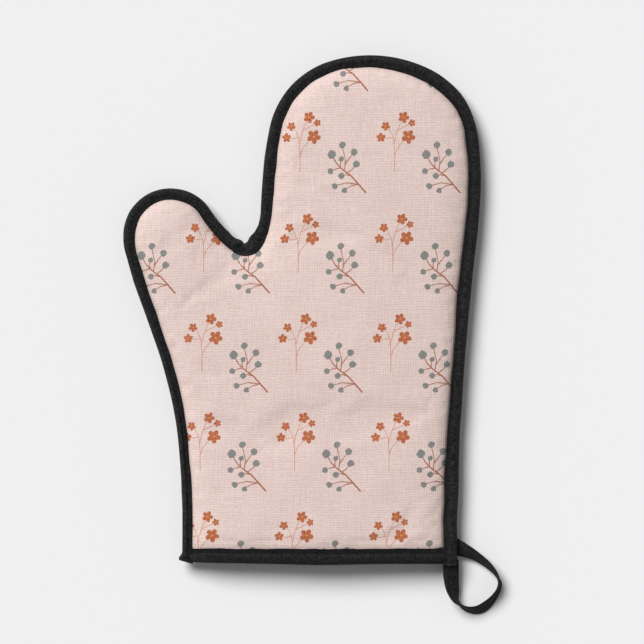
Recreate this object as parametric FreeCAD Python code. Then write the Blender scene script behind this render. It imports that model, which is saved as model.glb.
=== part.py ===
import FreeCAD, Part
import math
import os

# Padded oven mitt lying on its back, all sizes in millimetres.
# X runs to the right across the cuff, Y from the cuff to the fingertips, Z up.
# The origin is the middle of the mitt's outline, on the surface that it lies on.

# Outline of the bound edge, walked clockwise from the left corner of the cuff.
# A line is (length, 0); an arc is (radius, turn in degrees), with left turns positive.
CUFF_LEFT_X = -76.96
CUFF_Y = -162.84
OUTLINE = [
    (45.0, 0),        # left side of the cuff
    (288.0, 19.0),    # swell towards the thumb
    (62.0, 0),        # outer side of the thumb
    (33.2, -75.5),    # thumb tip, outer half
    (28.9, -89.0),    # thumb tip, inner half
    (88.0, 20.0),     # inner side of the thumb
    (4.0, 89.0),      # crotch between thumb and fingers
    (33.0, 34.5),     # root of the fingers
    (380.0, -8.0),    # left side of the fingers
    (56.5, -63.0),    # fingertips, left shoulder
    (87.5, -44.0),    # fingertips, crown
    (53.5, -53.5),    # fingertips, right shoulder
    (203.0, -16.5),   # knuckle side
    (34.0, 0),        # straight run below the knuckles
    (1322.0, 7.0),    # slow narrowing towards the cuff
]

# Heights and the shape of the side walls.
SEAM_Z = 11.0             # the seam plane, where the two halves are sewn together
FRONT_DEPTH = 15.0        # how far the front half stands above the seam plane
BACK_DEPTH = SEAM_Z       # how far the back half hangs below it
WALL_START = 8.0          # where the outer cloth starts to rise from the flat seam
WALL_INSET = 24.0         # where the rounded wall becomes flat panel

# Layers of each half.
CLOTH = 0.6               # printed outer cloth
BATTING = 3.5             # padding in the panels
SEAM_BATTING = 1.2        # the same padding squeezed in the seam
LINING = 0.5              # lining cloth
LAYERS = CLOTH + BATTING + LINING
SEAM_LAYERS = CLOTH + SEAM_BATTING + LINING

# Bias binding round the side seam, and the binding of each half's cuff edge.
BINDING = 0.7             # thickness of the folded tape
EDGE_WRAP = 0.8           # tape outside the cut edge of the layers
SIDE_BINDING_WIDTH = 7.0
CUFF_BINDING_HEIGHT = 9.0
BINDING_CORNER = 1.5      # rounding of the tape's fold
BINDING_FACE = SEAM_LAYERS + BINDING
CUFF_TAPER = 4.0          # where the padding thins out towards the cuff binding

# Stitching along the bindings, and the bar tacks that hold the loop's two ends.
STITCH_PITCH = 4.0
STITCH_LENGTH = 3.0
THREAD_WIDTH = 0.5
THREAD_HEIGHT = 0.35
STITCH_MARGIN = 1.5       # from the binding's inner edge to the row of stitches
TACK_LENGTH = 2.8
TACK_PITCH = 0.8
TACK_BARS = 4
TACK_INSET = 3.3          # from the bound edge to the middle of a tack
LOWER_TACK_Y = CUFF_Y + 2.0

# Hanging loop: a folded tape, given here as a round cord of the same section area.
# Its centre line falls from the two roots at the corner of the cuff to the far bend.
LOOP_TAPE_WIDTH = 10.0
LOOP_TAPE_THICKNESS = 1.6
LOOP_RADIUS = math.sqrt(LOOP_TAPE_WIDTH * LOOP_TAPE_THICKNESS / math.pi)
LOOP_RUN_SHARE = 0.45     # share of the shorter run that a bend takes up
LOOP_ROUTE = [
    (101.3, -152.6, 9.5),
    (110.5, -157.6, 8.3),
    (121.0, -165.4, 6.7),
    (128.5, -174.6, 5.4),
    (124.3, -187.0, 5.2),
    (113.1, -193.2, 6.1),
    (100.9, -190.4, 7.6),
    (96.5, -178.2, 8.7),
    (95.8, -165.2, 9.5),
]

UP = FreeCAD.Vector(0, 0, 1)

# The surfaces of a half, from the outside in: (depth below the outer cloth, height in the flat seam).
CLOTH_OUTSIDE = (0.0, SEAM_LAYERS)
CLOTH_INSIDE = (CLOTH, SEAM_LAYERS - CLOTH)
BATTING_INSIDE = (CLOTH + BATTING, LINING)
LINING_INSIDE = (LAYERS, 0.0)

# The same surfaces where the cuff binding squeezes the layers, and the binding's own.
THREAD_OUTSIDE = (0.0, BINDING_FACE)
BINDING_OUTSIDE = (THREAD_HEIGHT, BINDING_FACE)
CUFF_RECESS = THREAD_HEIGHT + BINDING
SQUEEZED = {
    CLOTH_OUTSIDE: (CUFF_RECESS, SEAM_LAYERS),
    CLOTH_INSIDE: (CUFF_RECESS + CLOTH, SEAM_LAYERS - CLOTH),
    BATTING_INSIDE: (CUFF_RECESS + CLOTH + SEAM_BATTING, LINING),
    LINING_INSIDE: (CUFF_RECESS + SEAM_LAYERS, 0.0),
}
BINDING_INSIDE = (CUFF_RECESS + SEAM_LAYERS + BINDING, 0.0)
LEG_Y = CUFF_Y - EDGE_WRAP + CUFF_BINDING_HEIGHT


def along(heading):
    return FreeCAD.Vector(math.cos(heading), math.sin(heading), 0)


def inward(heading):
    return FreeCAD.Vector(math.sin(heading), -math.cos(heading), 0)


def turned(vector, degrees):
    return FreeCAD.Rotation(UP, degrees).multVec(vector)


def arc_centre(point, heading, radius, turn):
    return point + inward(heading) * math.copysign(radius, -turn)


def end_point(point, heading, size, turn):
    if turn == 0:
        return point + along(heading) * size
    centre = arc_centre(point, heading, size, turn)
    return centre + turned(point - centre, turn)


def walk(inset=0.0, overrun=0.0):
    """Give the outline at an inset as (start, heading, size, turn) segments.

    The overrun carries both ends on past the cuff's edge; a negative one stops them short.
    """
    segments = []
    heading = math.pi / 2
    point = FreeCAD.Vector(CUFF_LEFT_X + inset, CUFF_Y - overrun, 0)
    for size, turn in OUTLINE:
        if turn != 0:
            size -= math.copysign(inset, -turn)
        elif not segments:
            size += overrun
        segments.append((point, heading, size, turn))
        point = end_point(point, heading, size, turn)
        heading += math.radians(turn)
    segments.append((point, heading, point.y - CUFF_Y + overrun, 0))
    return segments


def cuff_width():
    return end_point(*walk()[-1]).x - CUFF_LEFT_X


def panel_face(inset, overrun):
    """Flat face inside the outline at an inset, closed straight across the mitt."""
    edges = []
    segments = walk(inset, overrun)
    for point, heading, size, turn in segments:
        end = end_point(point, heading, size, turn)
        if turn == 0:
            edges.append(Part.makeLine(point, end))
        else:
            middle = end_point(point, heading, size, turn / 2)
            edges.append(Part.Arc(point, middle, end).toShape())
    edges.append(Part.makeLine(end, segments[0][0]))
    return Part.Face(Part.Wire(edges))


def sweep(section, overrun=0.0):
    """Sweep a section along the outline. Its X is the distance inwards, its Z the height."""
    pieces = []
    for point, heading, size, turn in walk(0.0, overrun):
        face = section.copy()
        face.rotate(FreeCAD.Vector(), UP, math.degrees(heading) - 90)
        face.translate(point)
        if turn == 0:
            pieces.append(face.extrude(along(heading) * size))
        else:
            centre = arc_centre(point, heading, size, turn)
            pieces.append(face.revolve(centre, UP * math.copysign(1, turn), abs(turn)))
    return pieces


def fused(pieces):
    return pieces[0].multiFuse(pieces[1:]).removeSplitter()


def section_line(*corners):
    """Edges through (x, z) corners, in the plane of a section."""
    points = [FreeCAD.Vector(x, 0, z) for x, z in corners]
    return [Part.makeLine(a, b) for a, b in zip(points, points[1:])]


def section_face(edges):
    return Part.Face(Part.Wire(Part.__sortEdges__(edges)))


class WallCurve:
    """One surface across the wall: level in the seam, then round and up to the flat panel."""

    def __init__(self, depth, surface):
        from_outside, self.seam_z = surface
        rise = depth - SEAM_LAYERS
        run = WALL_INSET - WALL_START
        outer_radius = (rise ** 2 + run ** 2) / (2 * rise)
        self.radius = outer_radius - from_outside
        self.top = depth - from_outside
        self.centre_z = depth - outer_radius
        reach = math.sqrt(self.radius ** 2 - (self.seam_z - self.centre_z) ** 2)
        self.start = WALL_INSET - reach
        self.start_angle = math.atan2(self.seam_z - self.centre_z, reach)

    def at(self, angle):
        """The point of the round part whose radius stands at this angle above level."""
        x = WALL_INSET - self.radius * math.cos(angle)
        z = self.centre_z + self.radius * math.sin(angle)
        return FreeCAD.Vector(x, 0, z)

    def round_edge(self, first, last):
        return Part.Arc(self.at(first), self.at((first + last) / 2), self.at(last)).toShape()

    def first_corner(self, first_x):
        return (self.start if first_x is None else first_x, self.seam_z)

    def edges(self, first_x):
        rise = self.round_edge(self.start_angle, math.pi / 2)
        if first_x is None:
            return [rise]
        return section_line(self.first_corner(first_x), (self.start, self.seam_z)) + [rise]


def wall_section(depth, outside, inside, first_x=None):
    """Section of one layer's wall, from first_x, or only where its surfaces are round."""
    outer = WallCurve(depth, outside)
    inner = WallCurve(depth, inside)
    edges = outer.edges(first_x) + inner.edges(first_x)
    edges += section_line((WALL_INSET, outer.top), (WALL_INSET, inner.top))
    edges += section_line(outer.first_corner(first_x), inner.first_corner(first_x))
    return section_face(edges)


def placed(shape, is_front):
    """Turn a half that is drawn upwards from the seam plane into the front or the back half."""
    if not is_front:
        shape = shape.mirror(FreeCAD.Vector(), UP)
    shape.translate(UP * SEAM_Z)
    return shape


def layer(depth, outside, inside):
    """One layer of a half: panel, walls and seam, thinning out to the part under the cuff binding."""
    taper_y = LEG_Y + CUFF_TAPER
    overrun = CUFF_Y - taper_y
    panel = panel_face(WALL_INSET, overrun)
    panel.translate(UP * (depth - inside[0]))
    slab = panel.extrude(UP * (inside[0] - outside[0]))
    main = [slab] + sweep(wall_section(depth, outside, inside, EDGE_WRAP), overrun)
    squeezed = (SQUEEZED[outside], SQUEEZED[inside], EDGE_WRAP)
    taper = across_cuff(depth, squeezed, LEG_Y, (outside, inside, EDGE_WRAP), taper_y)
    edge = across_cuff(depth, squeezed, CUFF_Y, squeezed, LEG_Y)
    return fused(main + taper + edge)


def across_cuff(depth, first, first_y, last, last_y):
    """Carry a layer along Y across the cuff, from one (outside, inside, first_x) to another.

    It is made of both walls and the flat panel between them.
    """
    wall_ends = []
    flat_ends = []
    for (outside, inside, first_x), y in ((first, first_y), (last, last_y)):
        wall = wall_section(depth, outside, inside, first_x).OuterWire
        wall.translate(FreeCAD.Vector(CUFF_LEFT_X, y, 0))
        wall_ends.append(wall)
        left_x = CUFF_LEFT_X + WALL_INSET
        right_x = CUFF_LEFT_X + cuff_width() - WALL_INSET
        top = depth - outside[0]
        bottom = depth - inside[0]
        corners = [(left_x, top), (right_x, top), (right_x, bottom), (left_x, bottom), (left_x, top)]
        flat_ends.append(Part.makePolygon([FreeCAD.Vector(x, y, z) for x, z in corners]))
    left = Part.makeLoft(wall_ends, True, True)
    return [left, mirrored_across(left), Part.makeLoft(flat_ends, True, True)]


def mirrored_across(shape):
    """Mirror a shape at the cuff's left side to its right side."""
    middle = FreeCAD.Vector(CUFF_LEFT_X + cuff_width() / 2, 0, 0)
    return shape.mirror(middle, FreeCAD.Vector(1, 0, 0))


def cuff_binding(depth):
    """Tape folded over one half's cuff edge: a leg on each face, joined past the edge."""
    edge_y = CUFF_Y - EDGE_WRAP
    fold = (BINDING_OUTSIDE, BINDING_INSIDE, SIDE_BINDING_WIDTH)
    outer_leg = (BINDING_OUTSIDE, SQUEEZED[CLOTH_OUTSIDE], SIDE_BINDING_WIDTH)
    inner_leg = (SQUEEZED[LINING_INSIDE], BINDING_INSIDE, None)
    pieces = across_cuff(depth, fold, edge_y, fold, CUFF_Y)
    pieces += across_cuff(depth, outer_leg, CUFF_Y, outer_leg, LEG_Y)
    pieces += across_cuff(depth, inner_leg, CUFF_Y, inner_leg, LEG_Y)
    corner = FreeCAD.Vector(CUFF_LEFT_X + EDGE_WRAP, edge_y, 0)
    under_side_binding = Part.makeBox(SIDE_BINDING_WIDTH - EDGE_WRAP, EDGE_WRAP, SEAM_LAYERS, corner)
    pieces += [under_side_binding, mirrored_across(under_side_binding)]
    return fused(pieces)


def side_binding():
    """Tape folded round the sewn edge, from one corner of the cuff to the other."""
    fold_z = BINDING_FACE - BINDING_CORNER
    bulge = BINDING_CORNER * (1 - math.sqrt(0.5))
    edges = section_line((0, fold_z), (0, -fold_z))
    edges += section_line((EDGE_WRAP, SEAM_LAYERS), (EDGE_WRAP, -SEAM_LAYERS))
    for side in (1, -1):
        edges += section_line(
            (BINDING_CORNER, side * BINDING_FACE),
            (SIDE_BINDING_WIDTH, side * BINDING_FACE),
            (SIDE_BINDING_WIDTH, side * SEAM_LAYERS),
            (EDGE_WRAP, side * SEAM_LAYERS),
        )
        corner = [(BINDING_CORNER, BINDING_FACE), (bulge, BINDING_FACE - bulge), (0, fold_z)]
        points = [FreeCAD.Vector(x, 0, side * z) for x, z in corner]
        edges.append(Part.Arc(*points).toShape())
    return placed(fused(sweep(section_face(edges), EDGE_WRAP)), True)


def stitch(point, heading, length, base_z):
    """A straight run of thread on a level face, centred on a point."""
    thread = Part.makeBox(length, THREAD_WIDTH, THREAD_HEIGHT)
    thread.translate(FreeCAD.Vector(-length / 2, -THREAD_WIDTH / 2, base_z))
    thread.rotate(FreeCAD.Vector(), UP, math.degrees(heading))
    thread.translate(FreeCAD.Vector(point.x, point.y, 0))
    return thread


def side_stitches():
    """Stitches at an even pitch along the side binding's inner edge, drawn on one face."""
    segments = walk(SIDE_BINDING_WIDTH - STITCH_MARGIN)
    stitches = []
    next_stitch = STITCH_PITCH
    for point, heading, size, turn in segments:
        length = size * math.radians(abs(turn)) if turn else size
        while next_stitch < length:
            share = next_stitch / length
            place = end_point(point, heading, size if turn else size * share, turn * share)
            direction = heading + math.radians(turn * share)
            stitches.append(stitch(place, direction, STITCH_LENGTH, BINDING_FACE))
            next_stitch += STITCH_PITCH
        next_stitch -= length
    return Part.makeCompound(stitches)


def cuff_stitches(depth):
    """One row of stitches across a cuff binding, over both rounded walls and the flat panel."""
    surface = WallCurve(depth, BINDING_OUTSIDE)
    thread_top = WallCurve(depth, THREAD_OUTSIDE)
    row_y = LEG_Y - STITCH_MARGIN
    middle_x = CUFF_LEFT_X + cuff_width() / 2
    flat_width = cuff_width() - 2 * WALL_INSET - STITCH_PITCH
    count = round(flat_width / STITCH_PITCH)
    stitches = []
    for i in range(count + 1):
        place = FreeCAD.Vector(middle_x + flat_width * (i / count - 0.5), row_y, 0)
        stitches.append(stitch(place, 0, STITCH_LENGTH, surface.top))
    pitch = STITCH_PITCH / surface.radius
    length = STITCH_LENGTH / surface.radius
    first = math.pi / 2 - pitch / 2
    while first - length > surface.start_angle + length / 2:
        last = first - length
        edges = [surface.round_edge(last, first), thread_top.round_edge(last, first)]
        edges += [Part.makeLine(surface.at(angle), thread_top.at(angle)) for angle in (first, last)]
        face = section_face(edges)
        face.translate(FreeCAD.Vector(CUFF_LEFT_X, row_y - THREAD_WIDTH / 2, 0))
        left = face.extrude(FreeCAD.Vector(0, THREAD_WIDTH, 0))
        stitches += [left, mirrored_across(left)]
        first -= pitch
    return Part.makeCompound(stitches)


def bar_tacks():
    """Two groups of short bars on the front of the binding, over the loop's two ends."""
    tack_x = CUFF_LEFT_X + cuff_width() - TACK_INSET
    bars = []
    for tack_y in (LOOP_ROUTE[0][1], LOWER_TACK_Y):
        for i in range(TACK_BARS):
            bar_y = tack_y + (i - (TACK_BARS - 1) / 2) * TACK_PITCH
            bars.append(stitch(FreeCAD.Vector(tack_x, bar_y, 0), 0, TACK_LENGTH, BINDING_FACE))
    return Part.makeCompound(bars)


def hanging_loop():
    """Round cord along the route: straight runs joined by the largest arcs that they allow."""
    points = [FreeCAD.Vector(*corner) for corner in LOOP_ROUTE]
    edges = []
    start = points[0]
    for before, corner, after in zip(points, points[1:], points[2:]):
        towards = (before - corner).normalize()
        away = (after - corner).normalize()
        half_turn = (math.pi - towards.getAngle(away)) / 2
        trim = LOOP_RUN_SHARE * min((corner - before).Length, (after - corner).Length)
        radius = trim / math.tan(half_turn)
        to_middle = radius / math.cos(half_turn) - radius
        middle = corner + (towards + away).normalize() * to_middle
        edges.append(Part.makeLine(start, corner + towards * trim))
        edges.append(Part.Arc(corner + towards * trim, middle, corner + away * trim).toShape())
        start = corner + away * trim
        print("loop bend radius", round(radius, 1))
    edges.append(Part.makeLine(start, points[-1]))
    path = Part.Wire(edges)
    circle = Part.makeCircle(LOOP_RADIUS, points[0], points[1] - points[0])
    cord = path.makePipeShell([Part.Wire(circle)], True, False)
    section = math.pi * LOOP_RADIUS ** 2
    print("loop length", round(path.Length, 1), "volume share", round(cord.Volume / section / path.Length, 4))
    return cord


def parts():
    nodes = {
        "side_binding": side_binding(),
        "loop_bar_tacks": placed(bar_tacks(), True),
        "hanging_loop": hanging_loop(),
    }
    for name, depth in (("front", FRONT_DEPTH), ("back", BACK_DEPTH)):
        is_front = name == "front"
        nodes[name + "_outer_panel"] = placed(layer(depth, CLOTH_OUTSIDE, CLOTH_INSIDE), is_front)
        nodes[name + "_batting"] = placed(layer(depth, CLOTH_INSIDE, BATTING_INSIDE), is_front)
        nodes[name + "_lining"] = placed(layer(depth, BATTING_INSIDE, LINING_INSIDE), is_front)
        nodes[name + "_cuff_binding"] = placed(cuff_binding(depth), is_front)
        nodes[name + "_side_stitches"] = placed(side_stitches(), is_front)
        nodes[name + "_cuff_stitches"] = placed(cuff_stitches(depth), is_front)
    return nodes


os.makedirs("parts", exist_ok=True)
for node, shape in parts().items():
    shape.exportStep("parts/" + node + ".step")
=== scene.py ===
import bpy
import math
import numpy as np
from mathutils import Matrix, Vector, geometry, kdtree, noise


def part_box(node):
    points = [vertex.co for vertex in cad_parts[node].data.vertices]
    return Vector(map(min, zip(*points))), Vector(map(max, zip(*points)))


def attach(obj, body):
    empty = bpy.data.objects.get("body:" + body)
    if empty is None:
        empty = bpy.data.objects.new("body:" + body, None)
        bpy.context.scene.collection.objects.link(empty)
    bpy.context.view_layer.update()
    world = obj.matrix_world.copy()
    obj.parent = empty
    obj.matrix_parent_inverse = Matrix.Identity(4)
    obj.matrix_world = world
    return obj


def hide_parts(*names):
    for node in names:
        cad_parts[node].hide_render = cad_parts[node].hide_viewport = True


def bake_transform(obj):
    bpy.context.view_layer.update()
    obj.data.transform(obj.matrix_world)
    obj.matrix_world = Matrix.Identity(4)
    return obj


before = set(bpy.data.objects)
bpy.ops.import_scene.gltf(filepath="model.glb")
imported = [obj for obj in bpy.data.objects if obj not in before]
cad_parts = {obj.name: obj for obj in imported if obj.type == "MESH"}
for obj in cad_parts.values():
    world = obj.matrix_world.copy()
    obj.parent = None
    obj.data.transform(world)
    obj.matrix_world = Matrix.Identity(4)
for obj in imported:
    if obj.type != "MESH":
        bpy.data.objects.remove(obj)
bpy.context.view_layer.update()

# -------- sizes, in metres
# The bound edge, walked clockwise from the left corner of the cuff, as in the CAD part:
# a line is (length, 0); an arc is (radius, turn in degrees), with left turns positive.
OUTLINE = [
    (0.045, 0),         # left side of the cuff
    (0.288, 19.0),      # swell towards the thumb
    (0.062, 0),         # outer side of the thumb
    (0.0332, -75.5),    # thumb tip, outer half
    (0.0289, -89.0),    # thumb tip, inner half
    (0.088, 20.0),      # inner side of the thumb
    (0.004, 89.0),      # crotch between thumb and fingers
    (0.033, 34.5),      # root of the fingers
    (0.380, -8.0),      # left side of the fingers
    (0.0565, -63.0),    # fingertips, left shoulder
    (0.0875, -44.0),    # fingertips, crown
    (0.0535, -53.5),    # fingertips, right shoulder
    (0.203, -16.5),     # knuckle side
    (0.034, 0),         # straight run below the knuckles
    (1.322, 7.0),       # slow narrowing towards the cuff
]
OUTLINE_STEP = 0.0005

# Layers, as in the CAD part.
CLOTH = 0.0006
LINING = 0.0005
SEAM_STACK = 0.0023
PANEL_STACK = 0.0046
TAPE = 0.0007
EDGE_WRAP = 0.0008
CUFF_HEIGHT = 0.0102    # over the cut edge of the cuff

# Places read from the frame.
SEAM_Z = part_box("front_cuff_binding")[0].z
CUFF_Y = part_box("front_outer_panel")[0].y
CUFF_LEFT_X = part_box("front_cuff_binding")[0].x - EDGE_WRAP
FRONT_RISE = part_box("front_outer_panel")[1].z - SEAM_Z
BACK_RISE = SEAM_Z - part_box("back_outer_panel")[0].z
LEG_Y = CUFF_Y + CUFF_HEIGHT
CUT_Y = CUFF_Y + 0.0042

# The puffed panels.
TUCK = 0.0045           # the cloth's edge, hidden in the binding
CLOTH_SPACING = 0.0026  # of the points of the cloth's mesh
RIM_SPACING = 0.8 * CLOTH_SPACING
RIM_GAP = 0.6 * CLOTH_SPACING   # least distance of the other points from the last rim row
CUT_GAP = 0.3 * CLOTH_SPACING   # and of the rim rows from the cloth's cut edge
RIM_ROWS = (-0.0006, 0.0003, 0.0010, 0.0024)    # rows of the mesh beside the binding's inner edge
FLOOR_GAP = 0.0003
# The cloth's rise past the binding is a sum of three swells: share of the rise, and its reach.
SWELLS = ((0.17, 0.0006), (0.28, 0.0050), (0.46, 0.040))
LIP = 0.0003            # how far past the tape's inner edge the rise starts
PANEL_SAG = 0.0016      # how far the resting panels lie inside the CAD part's
CUFF_SQUEEZE = 0.0022   # and how far the cloth does under the cuff binding
CUFF_PINCH = 0.0018     # extra dip of the cloth at the cuff binding's row of stitches
PINCH_WIDTH = 0.0028
# Distances past the binding between which the cloth takes on its pinch and its folds.
PINCH_FADE = (0, 0.0012)
FOLD_FADE = (0.001, 0.015)
# The padding is in full past the binding by these, and above the cuff binding by this.
FULL_PADDING = (-0.001, 0.010)
FULL_CUFF = 0.008
CUFF_FADE = 0.010       # how far above its binding the cuff still shapes the cloth
LEVEL_FROM = 0.014      # past the binding, where the padding's ridges begin to be evened out
LEVEL_FULL = 0.034      # and where they are evened out in full
LEVEL_ROUNDS = 40
# The padding's slow swells: pace over the cloth, height, and place in the noise.
PADDING_SWELLS = ((22, 0.0006, 0), (60, 0.0002, 7))
# Puckers where the binding's stitches catch the cloth: pitch, share and phase of each wave.
PUCKERS = ((0.0127, 1.0, 0.0), (0.0083, 0.7, 1.3))
PUCKER_HEIGHT = 0.00016
PUCKER_PLACE = 0.0042   # past the binding's inner edge
PUCKER_REACH = 0.0032
# Least heights over the seam: of the lining, and of the batting's outer and inner side.
LINING_GAP = 0.0001
BATTING_GAPS = (0.0004, 0.0001)

# The bindings. The side binding's width is given at shares of the way round.
BINDING_SHARES = (0.0, 0.035, 0.075, 0.11, 0.22, 0.25, 0.285, 0.31, 0.34, 0.37, 0.40, 0.42, 0.46, 0.505,
                  0.55, 0.58, 0.63, 0.655, 0.685, 0.72, 0.80, 0.835, 0.86, 0.895, 0.93, 1.0)
BINDING_WIDTHS = (0.0068, 0.0070, 0.0058, 0.0063, 0.0067, 0.0074, 0.0069, 0.0074, 0.0065, 0.0078, 0.0069,
                  0.0077, 0.0074, 0.0081, 0.0076, 0.0090, 0.0094, 0.0079, 0.0077, 0.0080, 0.0075, 0.0062,
                  0.0064, 0.0069, 0.0078, 0.0084)
# How far the tape's fold stands in from the cut edge, at shares of the way round.
DRIFT_SHARES = (0.0, 0.04, 0.055, 0.19, 0.215, 0.235, 0.25, 0.27, 0.285, 0.31, 0.34, 0.36, 0.415, 0.445,
                0.48, 0.53, 0.58, 0.62, 0.645, 0.67, 0.687, 0.715, 0.74, 0.80, 0.88, 0.90, 0.93, 0.95, 0.97,
                1.0)
DRIFT = (0.0006, 0.0006, 0.0, 0.0, -0.0006, 0.0006, 0.0006, -0.0005, -0.0004, 0.0003, -0.0006, 0.0, 0.0004,
         0.0, 0.0005, 0.0007, 0.0012, 0.0009, 0.0002, 0.0002, -0.0004, 0.0001, -0.0001, -0.0008, -0.0012,
         -0.0006, -0.0010, -0.0010, -0.0002, -0.0006)
# The same beside the mitred tuck in the crotch, at lengths from its notch.
TUCK_LENGTHS = (-0.0125, -0.0084, -0.0059, -0.0036, -0.0018, -0.0006, 0.0003, 0.0014, 0.0033, 0.0048,
                0.0063, 0.0083, 0.0098, 0.0117, 0.0150)
TUCK_SLIP = (0.0, 0.0006, 0.0003, -0.0006, -0.0008, -0.0002, 0.0005, -0.0003, -0.0009, -0.0014,
             -0.0014, -0.0011, -0.0006, -0.0004, 0.0)
TUCK_EXTRA = 0.0008     # how much wider the tape is on the fingers' side of the notch,
TUCK_EXTRA_PLACE = 0.005        # this far along from it
TUCK_EXTRA_REACH = 0.008
# The mitred tuck's crease, and the raised edge behind it: share of the tape's height, place and reach.
CREASES = ((-0.34, 0.0, 0.0007), (0.20, 0.0018, 0.0013))
CREASE_SLANT = 0.5
CREASE_FADE = (0.0035, 0.0065)  # insets between which the crease dies away
BINDING_START = 0.0012  # along the left side of the cuff
BINDING_STEP = 0.0010
POINT_SPACING = 0.0006  # across the tape, between a section's points
LEG_EDGE = 0.0004       # from the tape's inner edge to where it meets the sewn layers
START_FLARE = 0.0022    # how far the fold stands out at the tape's left end,
FLARE_LENGTH = (0.009, 0.001)   # and between which lengths
# The tape's left end is cut slanting: its rise, and the insets and heights that it lies between.
SLANT_RISE = 0.0030
SLANT_INSET = 0.0078
SLANT_WIDTH = 0.0095
SLANT_HEIGHT = 0.008
# The rings that close the tape's ends: how far past the last section, and their size.
END_RINGS = ((0.0003, 1.0), (0.0007, 0.97), (0.0010, 0.85), (0.0012, 0.55), (0.00125, 0.1))

# The hanging loop: a folded tape, a little uneven in width and cupped, with a channel beside each edge.
LOOP_WIDTH = 0.0105
LOOP_THICKNESS = 0.0014
LOOP_RING = 48          # points round the tape's section
LOOP_STEP = 0.0006      # between sections
LOOP_UNEVENNESS = 0.05
LOOP_CUP = 0.0003
LOOP_CUP_CHANGE = 0.0007
LOOP_CHANNEL = 0.00025
LOOP_CHANNEL_PLACE = 0.36       # share of the width
LOOP_CHANNEL_REACH = 0.05
# Its route: the CAD part's points, each eased by up to 2 mm, with the roots carried on under the binding.
LOOP_ROUTE = [
    (0.0940, -0.1497, 0.0070),
    (0.1013, -0.1530, 0.0078),
    (0.1105, -0.1568, 0.0078),
    (0.1214, -0.1648, 0.0067),
    (0.1288, -0.1752, 0.0056),
    (0.1228, -0.1862, 0.0053),
    (0.1131, -0.1938, 0.0047),
    (0.1006, -0.1902, 0.0066),
    (0.0962, -0.1782, 0.0088),
    (0.0954, -0.1665, 0.0104),
    (0.0953, -0.1600, 0.0110),
]

# The tape's turn at shares of the way round, in degrees.
LOOP_TWIST_SHARES = (0.0, 0.05, 0.10, 0.16, 0.22, 0.28, 0.345, 0.385, 0.42, 0.465, 0.51, 0.56, 0.61, 0.65,
                     0.69, 0.73, 0.765, 0.80, 0.86, 0.93, 1.0)
LOOP_TWIST = (0, 8, 30, 52, 62, 68, 82, 100, 105, 109, 117, 128, 126, 114, 107, 90, 62, 44, 26, 14, 6)
TWIST_ROUNDS = 30       # of smoothing

# The cuff bindings and the stitching.
CUFF_START = 0.0052     # inset of the cuff tape's ends, hidden under the side binding
CUFF_ROUNDS = 4         # of smoothing of its height
CUFF_CAVITY = (0.0012, CUFF_HEIGHT - 0.001)     # heights of the cloth's place inside it
INNER_PLUMPNESS = 0.2   # of its inner leg, as a share of the outer one's
LEAST_HEIGHT = 0.00005  # of its surface over the seam
CUFF_DROP_X = (-0.077, 0.012, 0.076, 0.100)     # where the cuff binding's fold is drawn up,
CUFF_DROP = (0.0021, 0.0007, 0.0012, 0.0005)    # and how far
STITCH_INSET = 0.0019   # from the cuff tape's upper edge to its row of stitches
STITCH_PITCH = 0.004
STITCH_LENGTH = 0.003
THREAD_RADIUS = 0.00024
THREAD_SIDES = 8
THREAD_FLATNESS = 0.8
# Along half a stitch: share of the half length, girth, and height over the tape.
THREAD_PROFILE = ((0.0, 1.0, 0.00008), (0.45, 1.0, 0.00004), (0.85, 0.8, -0.00010), (1.0, 0.35, -0.00028))
UNSTITCHED_RINGS = 8    # at each end of the side binding
TACK_BARS = 4
TACK_PITCH = 0.0008
TACK_LENGTH = 0.0028
TACK_RING_POINT = 8     # the place in the side binding's section that the bar tacks lie on
TACK_INSET = 0.0004
LOWER_TACK = 0.002      # height of the lower tack over the cuff's edge

# How the outer cloth settles. Shrinking below zero is spare cloth.
CANVAS = {
    "quality": 4,
    "mass": 0.12,
    "tension_stiffness": 20,
    "compression_stiffness": 20,
    "shear_stiffness": 8,
    "bending_stiffness": 0.6,
    "pin_stiffness": 1.0,
    "shrink_min": -0.004,
    "use_pressure": True,
    "uniform_pressure_force": 0.3,
}
SETTLE_FRAMES = 16
SETTLE_CAP = 0.0004
HELD_RIM = (0.0006, 0.004)      # past the binding, the cloth goes from held to free
HELD_CUFF = 0.006       # and so it does over this height above the cuff binding

# Soft folds in the front panel: centre, direction in degrees, length, width and height.
FRONT_FOLDS = [
    ((0.035, -0.072), 3, 0.055, 0.017, -0.0006),
    ((-0.020, -0.085), 48, 0.040, 0.010, -0.0003),
    ((-0.034, -0.074), 44, 0.036, 0.010, 0.0003),
    ((-0.008, -0.110), 52, 0.036, 0.008, 0.0004),
    ((0.055, -0.105), 56, 0.034, 0.009, 0.0003),
    ((0.020, -0.035), 50, 0.030, 0.009, 0.0004),
    ((0.045, -0.048), 44, 0.026, 0.008, 0.0003),
    ((0.035, 0.060), 30, 0.035, 0.012, -0.0004),
    ((-0.072, 0.020), 40, 0.022, 0.009, 0.0003),
]

# The print, in millimetres of flat cloth.
REPEAT_X = 60.2
REPEAT_Y = 63.1
PRINT_EDGE = 0.14
PRINT_SLANT = 0.0185    # how far the bolt's threads lie askew
PRINT_DRAWN_IN = 0.00013        # how the cloth is drawn in over the fingertips
PRINT_AT = {1: (0.0, 11.9), -1: (17.0, 38.0)}   # where the front and the back are cut from the bolt
SPRIG_CENTRE = (-2.0, -4.4)
SPRIG_LOW = -36.8       # where the sprigs' repeat begins
TWIG_CENTRE = (25.6, -24.2)
TWIG_LOW = -REPEAT_Y / 2
# Widths of the drawn lines, and their far end's share of it.
STEM_LINE = (0.46, 0.8)
TRUNK_LINE = (0.95, 0.6)
SHOOT_LINE = (0.68, 0.6)
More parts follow.
